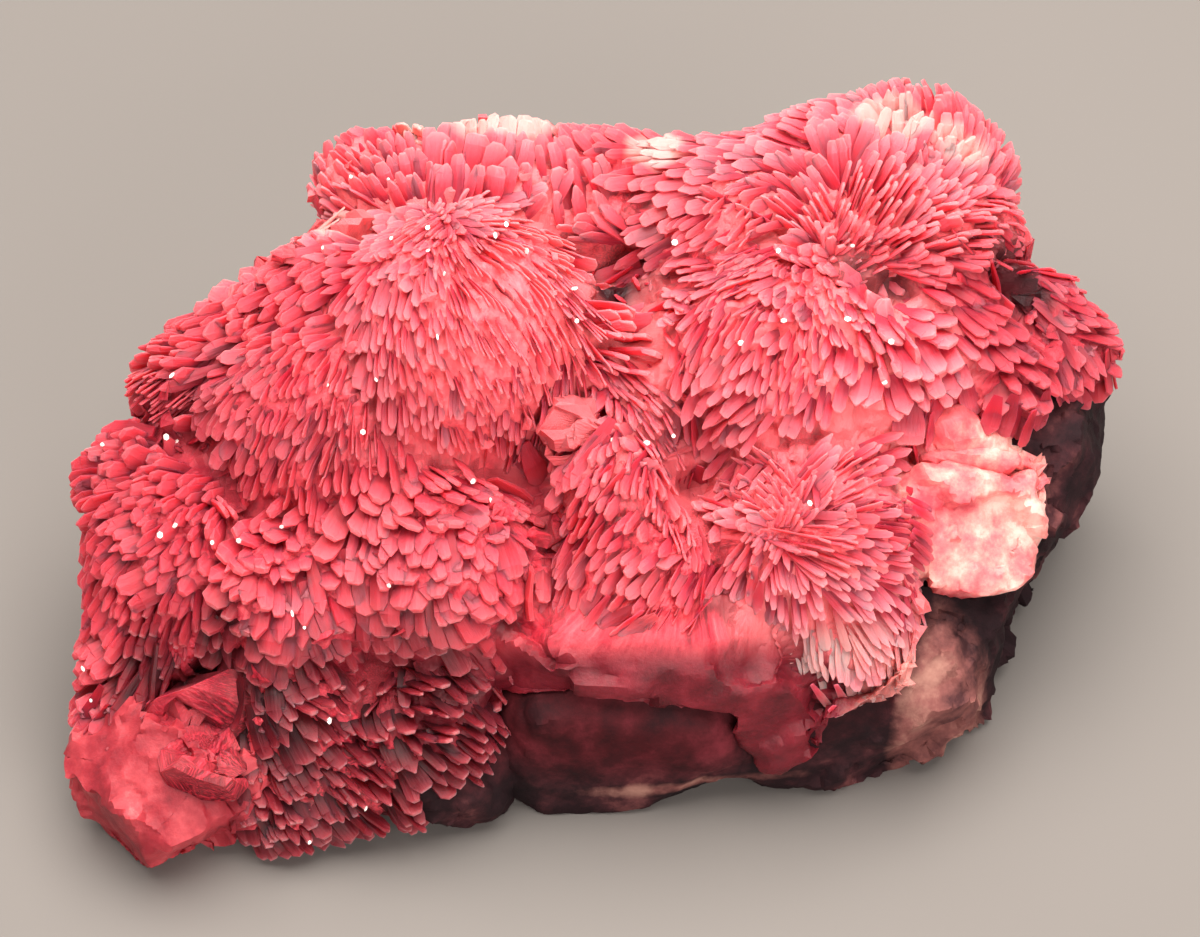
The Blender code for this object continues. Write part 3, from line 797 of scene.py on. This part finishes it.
slope = np.minimum(1.0, 2.0 * np.linalg.norm(away, axis=1) / (1.0 + BUNDLE_ORDER))
away = unit(away)
sway = noise_vectors(seats, BUNDLE_SWAY, 0.0)
coarse = FINENESS * (shares @ spray_coarse) * (1.0 + 0.6 * sway[:, 1])
drift = noise_vectors(feet, DRIFT, 40.0)
# How high each tip reaches: the looser the spray, the more unevenly and the lower.
unevenness = 0.2 + 0.95 * loose
heights = unevenness * (1.2 * sway[:, 2] + 0.8 * drift[:, 2] + draw.uniform(-0.5, 0.5, len(feet)))
heights = MM * (heights - TIP_DEPTH - LOOSE_TIP_DEPTH * loose)
heights -= pit_depths(feet)
# The way each blade points: it leans from the spray's pole, and strays with its bundle and on its own.
axis = unit(0.8 * growth + 0.2 * normals)
lean = 1.3 * lay + 0.9 * broadside
stray = 0.55 * sway + 0.30 * drift + draw.normal(0, 0.05, feet.shape)
axis = unit(axis + (lean * slope)[:, None] * away + (1.0 + lean)[:, None] * 0.6 * stray)
flatness = np.clip(lean * slope - 1.0, 0.0, 2.0) / 2.0
# Each blade reaches from its foot to its height, which a few steps along its axis close in on.
reach = np.zeros(len(feet))
for _ in range(6):
    reach += heights - depth_below_tips(feet + reach[:, None] * axis)[0]
reach = np.clip(reach, 0.0, LONGEST)
tips = feet + reach[:, None] * axis
# How far each blade is turned about its axis: at 0 its edge faces out, and at 90 degrees its broad face.
twist = (0.25 + 0.95 * loose) * (0.6 * sway[:, 0] + 0.3 * drift[:, 1] + draw.normal(0, 0.08, len(feet)))
twist = (broadside + twist) * math.pi / 2
wide = unit(away - (away * axis).sum(axis=1, keepdims=True) * axis)
thin = np.cross(axis, wide)
wide, thin = (
    np.cos(twist)[:, None] * wide + np.sin(twist)[:, None] * thin,
    np.cos(twist)[:, None] * thin - np.sin(twist)[:, None] * wide,
)

rock_mesh = frame["nodes"]["matrix_rock"].data
rock_tree = BVHTree.FromPolygons([v.co for v in rock_mesh.vertices], [p.vertices for p in rock_mesh.polygons])


def in_rock(point):
    nearest, normal, _, _ = rock_tree.find_nearest(point)
    return (point - nearest).dot(normal) < 0


def spaced_out(points, axes, gaps):
    """The points to keep, so that no two are closer than the gaps along their own axes."""
    cell = max(gap.max() for gap in gaps)
    taken = {}
    kept = []
    frames = np.stack([axis_set / gap[:, None] for axis_set, gap in zip(axes, gaps)], axis=1)
    cells = np.floor(points / cell).astype(int)
    for n in range(len(points)):
        x, y, z = cells[n]
        around = ((x + i, y + j, z + k) for i in (-1, 0, 1) for j in (-1, 0, 1) for k in (-1, 0, 1))
        close = [m for place in around for m in taken.get(place, ())]
        if close and (((points[close] - points[n]) @ frames[n].T) ** 2).sum(axis=1).min() < 1.0:
            continue
        taken.setdefault((x, y, z), []).append(n)
        kept.append(n)
    return np.array(kept)


# A blade is left out where it would run into the rock or the table, or where its tip would stick out.
roots = tips - BLADE_LENGTH * MM * axis
clear = (tips[:, 2] > LOWEST) & (roots[:, 2] > LOWEST)
for blade_places in (tips, (feet + tips) / 2):
    clear &= np.array([not in_rock(Vector(place)) for place in blade_places])
tip_growth, _, _ = growth_field(tips)
clear &= ((tip_growth * axis).sum(axis=1) > 0.0) & (np.abs(depth_below_tips(tips)[0] - heights) < TIP_ERROR)
chosen = np.flatnonzero(clear)
edge_on = np.abs(np.cos(twist))
row_gap = ROW_GAP + (BROAD_ROW_GAP - ROW_GAP) * (1.0 - edge_on) + FLAT_ROW_GAP * flatness
side_gap = coarse * (STACK_GAP * edge_on + BROAD_SIDE_GAP * np.sqrt(1.0 - edge_on**2))
height_gap = np.full(len(tips), HEIGHT_GAP)
over_crust = (away[chosen], np.cross(growth, away)[chosen], growth[chosen])
chosen = chosen[spaced_out(tips[chosen], over_crust, (row_gap[chosen], side_gap[chosen], height_gap[chosen]))]
blade_tints = 0.5 + 0.5 * sway[:, 1] + draw.uniform(-0.3, 0.3, len(tips))

# Where the blades are browned by manganese near the bare rock, and painted dark there as shade too, low on the
# face and in the gash at the lower left; and where they are bleached almost white, with a painted highlight on
# the top edge.
STAINED_AND_PAINTED_SHADE = (
    ((-24, -35, 5), (20, 8, 20), 1.0), ((-50, -26, 5), (4, 5, 20), 1.0), ((-40, -23, 4), (5, 4, 10), 1.0),
)
# Pale patches, and on the top edge a painted highlight.
BLEACHED_AND_PAINTED_HIGHLIGHT = (
    ((-11, 39, -6), (5, 3, 9), 1.0), ((-19.5, 39, -8), (3, 2, 7), 1.0), ((33, 37, -4), (4, 2.5, 9), 0.9),
    ((40, 35, -4), (3, 2, 7), 0.8), ((6, 35.5, -5), (2.5, 3, 6), 1.0), ((-29, 26.5, -2), (2.5, 2, 6), 1.0),
    ((28.5, -25.5, 2), (9, 3.5, 10), 0.62),
)


def joined_blades(name, numbers):
    """One mesh of many blades, with each one's tint and the height along it kept at its points."""
    variants = draw.integers(len(blade_shapes), size=len(numbers))
    points, triangles, alongs, tints, fibres = [], [], [], [], []
    first = 0
    for variant, (shape, faces, along) in enumerate(blade_shapes):
        group = numbers[variants == variant]
        size = draw.uniform((0.55, 0.85, 0.9), (1.05, 1.4, 1.0), (len(group), 3))
        size[:, :2] *= coarse[group, None]
        size[:, 1] *= 1.0 - 0.5 * flatness[group]
        size[:, 2] *= 1.0 - 0.4 * flatness[group]
        local = shape[None] * size[:, None]
        axes = np.stack((wide[group], thin[group], axis[group]), axis=1)
        points.append((local @ axes + tips[group][:, None]).reshape(-1, 3))
        starts = first + len(shape) * np.arange(len(group))
        triangles.append((faces[None] + starts[:, None, None]).reshape(-1, 3))
        alongs.append(np.tile(along, len(group)))
        fibres.append((local / np.array((FIBRE, FIBRE, FIBRE_LENGTH)) + group[:, None, None]).reshape(-1, 3))
        tints.append(np.repeat(blade_tints[group], len(shape)))
        first += len(shape) * len(group)
    points, triangles = np.concatenate(points), np.concatenate(triangles)
    points[:, 2] = np.maximum(points[:, 2], BLADE_CLEARANCE)
    mesh = bpy.data.meshes.new(name)
    mesh.vertices.add(len(points))
    mesh.vertices.foreach_set("co", points.ravel())
    mesh.loops.add(triangles.size)
    mesh.loops.foreach_set("vertex_index", triangles.ravel().astype(np.int32))
    mesh.polygons.add(len(triangles))
    mesh.polygons.foreach_set("loop_start", np.arange(0, triangles.size, 3, dtype=np.int32))
    mesh.update(calc_edges=True)
    mesh.shade_flat()
    keep_mark(mesh, "height", np.concatenate(alongs))
    keep_mark(mesh, "tint", np.concatenate(tints))
    keep_directions(mesh, "fibres", np.concatenate(fibres))
    keep_spots(mesh, "stained_and_painted_shade", points, STAINED_AND_PAINTED_SHADE)
    keep_spots(mesh, "bleached_and_painted_highlight", points, BLEACHED_AND_PAINTED_HIGHLIGHT)
    keep_spots(mesh, "deepened_and_painted_shade", points, DEEPENED_AND_PAINTED_SHADE)
    keep_spots(mesh, "paled_and_painted_light", points, PALED_AND_PAINTED_LIGHT)
    piece = bpy.data.objects.new(name, mesh)
    bpy.context.scene.collection.objects.link(piece)
    return piece


# Rhodonite crystals: glassy but full of fine cracks and grooved along their length, so that they take in light
# deeply and glow from inside, with soft streaks in place of highlights. They are palest at the thin tip, and
# painted darker towards the root, as shade in the crevices between them.
ZONE = 14.29 * MM  # the width of the paler and deeper zones that run across many blades
blade_material, blade_shader = new_material(
    "rhodonite blades", Roughness=0.5, Specular_IOR_Level=0.25, Subsurface_Weight=0.75,
    Subsurface_Radius=(1.0, 0.28, 0.25), Subsurface_Scale=4.0 * MM,
)
place = add_node(blade_material, "ShaderNodeTexCoord").outputs["Object"]
height = add_node(blade_material, "ShaderNodeAttribute", attribute_name="height").outputs["Fac"]
tint = add_node(blade_material, "ShaderNodeAttribute", attribute_name="tint").outputs["Fac"]
zones = add_node(
    blade_material, "ShaderNodeTexNoise", {"Vector": place}, Scale=1.0 / ZONE, Detail=3.0, Roughness=0.5
).outputs["Fac"]
# Every colour runs along the blade by its height: the dark crimson at the root is painted shade of the crevices
# between blades.
plain_colour, deep_colour, pale_and_painted_light_colour, stain_and_painted_shade_colour = (
    add_node(blade_material, "ShaderNodeValToRGB", {"Fac": height}, stops).outputs["Color"]
    for stops in (
        ((0.40, "#B01C30"), (0.70, "#DE3D4F"), (0.88, "#EB4E5C"), (1.0, "#F05D65")),
        ((0.5, "#7E0E20"), (0.9, "#BE2A3C"), (1.0, "#CC3A49")),
        ((0.5, "#D23448"), (0.8, "#F06370"), (1.0, "#F98288")),
        ((0.5, "#3A0911"), (0.82, "#681621"), (0.95, "#8A2E38"), (1.0, "#B9666B")),
    )
)
pale_share = add_node(blade_material, "ShaderNodeMath", {0: zones, 1: tint}, operation="MULTIPLY")
pale_range = add_node(
    blade_material, "ShaderNodeMapRange", {"Value": pale_share.outputs["Value"]},
    From_Min=0.15, From_Max=0.6, To_Min=0.0, To_Max=0.35,
)
blade_colour = add_node(
    blade_material, "ShaderNodeMix", {"Factor": pale_range.outputs["Result"], 6: plain_colour, 7: "#F57D7E"},
    data_type="RGBA",
).outputs[2]
# Painted shade, in part: the deeper crimson spots over the blades.
blade_colour = deepened_and_painted_shade(blade_material, blade_colour, deep_colour, zones)
# Painted light, in part: the paler spots over the blades.
blade_colour = painted(blade_material, blade_colour, "paled_and_painted_light", pale_and_painted_light_colour, zones, 1.2)
# Bleached white, and on the top edge a painted highlight.
blade_colour = painted(blade_material, blade_colour, "bleached_and_painted_highlight", "#F29A95", zones)
# Manganese stain and painted shade together: the dark brown low on the face and in the gash.
blade_colour = painted(blade_material, blade_colour, "stained_and_painted_shade", stain_and_painted_shade_colour, zones, 0.9)
blade_material.node_tree.links.new(blade_colour, blade_shader.inputs["Base Color"])
fibre_place = add_node(blade_material, "ShaderNodeAttribute", attribute_name="fibres").outputs["Vector"]
striations = add_node(
    blade_material, "ShaderNodeTexNoise", {"Vector": fibre_place}, Scale=2.5, Detail=3.0, Roughness=0.6
)
striation_bump = add_node(
    blade_material, "ShaderNodeBump", {"Height": striations.outputs["Fac"]}, Strength=0.5, Distance=0.3 * MM
)
blade_material.node_tree.links.new(striation_bump.outputs["Normal"], blade_shader.inputs["Normal"])

# The blades are joined by where they stand: at the back, or on the face to the right, low down or on the crown.
RIGHT_FROM, CROWN_FROM = 8 * MM, -5 * MM
tip_up = (tips - np.array(FACE_MIDDLE)) @ np.array(FACE_UP)
at_back = shares.argmax(axis=1) >= len(FACE_SPRAYS)
on_right = ~at_back & (tips[:, 0] > RIGHT_FROM)
on_lower = ~at_back & ~on_right & (tip_up < CROWN_FROM)
on_crown = ~at_back & ~on_right & ~on_lower
for name, where in (
    ("crown_blades", on_crown), ("right_hand_blades", on_right),
    ("lower_blades", on_lower), ("back_blades", at_back),
):
    piece = joined_blades(name, chosen[where[chosen]])
    piece.data.materials.append(blade_material)
    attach(piece, "root")
    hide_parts("rhodonite_crystals")

# ----------------------------------------------------------------------------------------------------------
# The glints: the cleavage of rhodonite is perfect, and where a blade's tip has snapped along it the small face
# flashes. They are flakes that lie on scattered tips, turned towards where one looks at the crystal face from,
# and painted near white as highlights.

GLINTS = 55
GLINT_SIZE = 0.42 * MM  # of the largest flake, from its middle
GLINT_SEAT = 0.3 * MM  # from a tip to the middle of its flake
GLINT_SCATTER = 0.35

deselect_all()
bpy.ops.mesh.primitive_cylinder_add(vertices=6, radius=1.0, depth=0.6)
flake = bpy.context.object
flake_points = points_of(flake.data)
flake_faces = triangles_of(flake.data)
bpy.data.objects.remove(flake)

in_sight = (axis[chosen] @ np.array(FACE_OUT) > 0.25) & ~at_back[chosen]
glint_tips = draw.choice(chosen[in_sight], GLINTS, replace=False)
points, triangles = [], []
for n, tip in enumerate(glint_tips):
    turned = Vector(np.array(FACE_OUT) + draw.normal(0, GLINT_SCATTER, 3)).to_track_quat("Z", "Y").to_matrix()
    size = GLINT_SIZE * draw.uniform(0.3, 1.0, 3)
    seat = tips[tip] + GLINT_SEAT * np.array(FACE_OUT)
    points.append((flake_points * size) @ np.array(turned).T + seat)
    triangles.append(flake_faces + n * len(flake_points))
glint_mesh = bpy.data.meshes.new("cleavage_glints")
glint_mesh.from_pydata(np.concatenate(points).tolist(), [], np.concatenate(triangles).tolist())
glints = bpy.data.objects.new("cleavage_glints", glint_mesh)
bpy.context.scene.collection.objects.link(glints)
# A cleavage face is flat to the last layer of the crystal, so it is as bright as glass from where it faces. The
# flakes' near-white colour is a painted highlight.
glint_colour = linear("#FFF2EC")
glint_material, _ = new_material("cleavage faces with painted glint", Base_Color=glint_colour, Roughness=0.12, Coat_Weight=1.0)
glint_mesh.materials.append(glint_material)
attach(glints, "root")
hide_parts("rhodonite_crystals")

# ----------------------------------------------------------------------------------------------------------
# The table it lies on: a board with a matt, pale grey coat of paint. A large soft light above and a smaller one
# in front light it in a bright room, and the camera looks straight at the crystal face.

deselect_all()
bpy.ops.mesh.primitive_plane_add(size=6.0)
table = bpy.context.object
table.name = "table"
# Matt paint on board: an even pale grey that throws no highlight and takes a soft shadow.
table_material, _ = new_material("matt table top", Base_Color=linear("#74706C"), Roughness=0.9)
table.data.materials.append(table_material)

world = bpy.data.worlds.new("studio")
bpy.context.scene.world = world
world.use_nodes = True
world.node_tree.nodes["Background"].inputs["Color"].default_value = linear("#EFE6E2")
world.node_tree.nodes["Background"].inputs["Strength"].default_value = 0.45


def add_light(name, place, size, power, colour):
    """A square soft light that faces the middle of the crystal face. Its power is in watts."""
    light = bpy.data.objects.new(name, bpy.data.lights.new(name, "AREA"))
    light.data.size = size
    light.data.energy = power
    light.data.color = linear(colour)[:3]
    light.location = place
    light.rotation_mode = "QUATERNION"
    light.rotation_quaternion = (FACE_MIDDLE - Vector(place)).to_track_quat("-Z", "Y")
    bpy.context.scene.collection.objects.link(light)


add_light("key", place=(0.0, 0.09, 0.62), size=0.7, power=12.6, colour="#FFF8F2")
add_light("fill", place=(0.30, -0.62, 0.34), size=0.5, power=4.6, colour="#FFF6F2")

CAMERA_DISTANCE = 0.55
FRAME_WIDTH = 134.52 * MM  # what the camera takes in across, at the middle of the crystal face
camera = bpy.data.objects.new("camera", bpy.data.cameras.new("camera"))
bpy.context.scene.collection.objects.link(camera)
bpy.context.scene.camera = camera
camera.location = FACE_MIDDLE + CAMERA_DISTANCE * FACE_OUT
camera.rotation_mode = "QUATERNION"
camera.rotation_quaternion = (-FACE_OUT).to_track_quat("-Z", "Y")
camera.data.lens = camera.data.sensor_width * CAMERA_DISTANCE / FRAME_WIDTH
camera.data.clip_start = 0.01
bpy.context.scene.view_settings.view_transform = "Standard"
